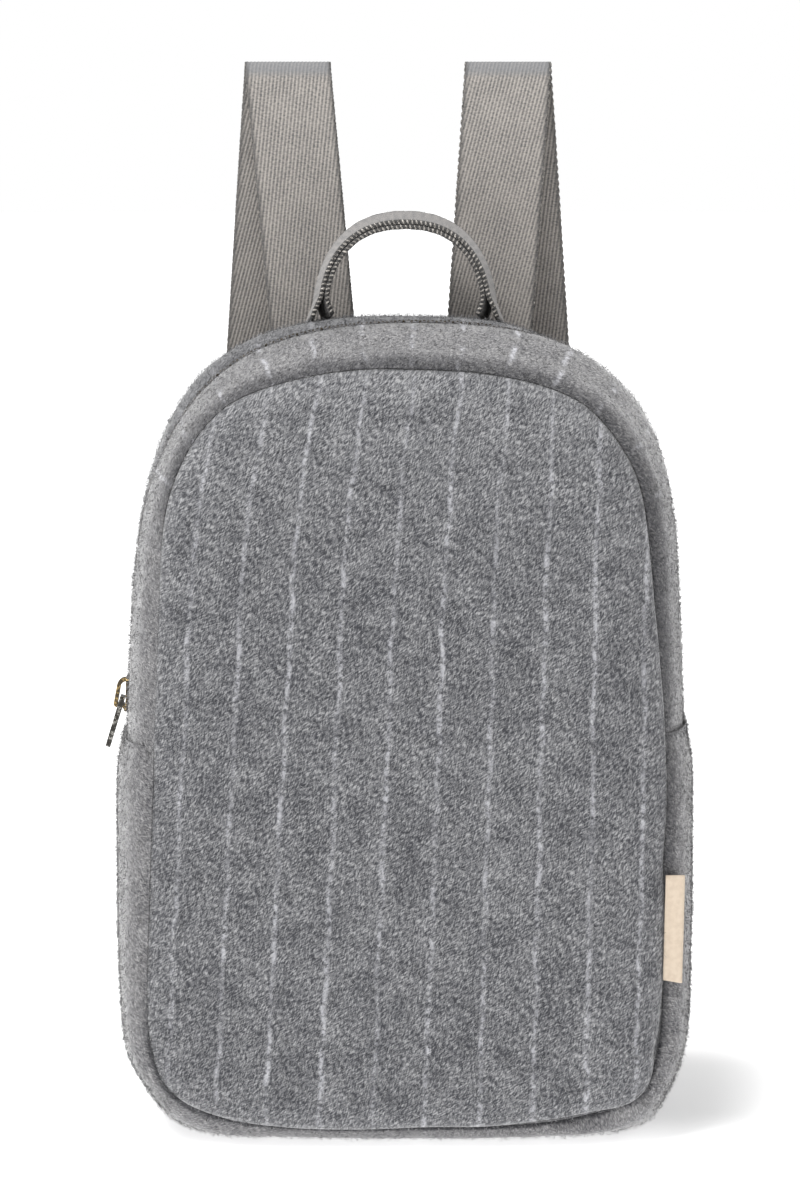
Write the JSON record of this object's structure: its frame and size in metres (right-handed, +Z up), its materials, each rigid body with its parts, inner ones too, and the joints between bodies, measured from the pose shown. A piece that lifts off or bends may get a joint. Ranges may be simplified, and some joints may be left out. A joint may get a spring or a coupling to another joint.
{
  "type": "mini backpack",
  "caption": "Small arched backpack in brushed wool cloth with a zip over its top, side slip pockets, a webbing carrying handle and webbing shoulder straps.",
  "frame": {"origin": "middle of the flat base, where the bag stands on the floor", "axes": "+Z up, -Y out of the front panel, +X to the right of someone who looks at the front"},
  "size_m": [0.2168, 0.1179, 0.39],
  "materials": {
    "wool": "brushed melange wool with pale chalk stripes",
    "webbing": "twill webbing in taupe and grey yarns",
    "zip_tape": "woven zip tape with coil teeth",
    "zip_metal": "dark antique metal, worn bright on its edges",
    "label": "plain cream cotton tape"
  },
  "bodies": {
    "bag": {"front_panel": "wool", "back_panel": "wool", "zip_band_front": "wool", "zip_band_back": "wool", "gusset_base": "wool", "pocket_left": "wool", "pocket_right": "wool", "handle": "webbing", "strap_left": "webbing", "strap_right": "webbing", "label_tab": "label", "zip_chain": "zip_tape", "zip_slider": "zip_metal"},
    "zip_pull": {"zip_pull": "zip_metal"}
  },
  "joints": [
    {"name": "zip_pull_swing", "type": "hinge", "parent": "bag", "child": "zip_pull", "pos_m": [-0.10421, 0.0025, 0.15807], "axis": [0, 1, 0], "range_deg": [0, 145]}
  ]
}
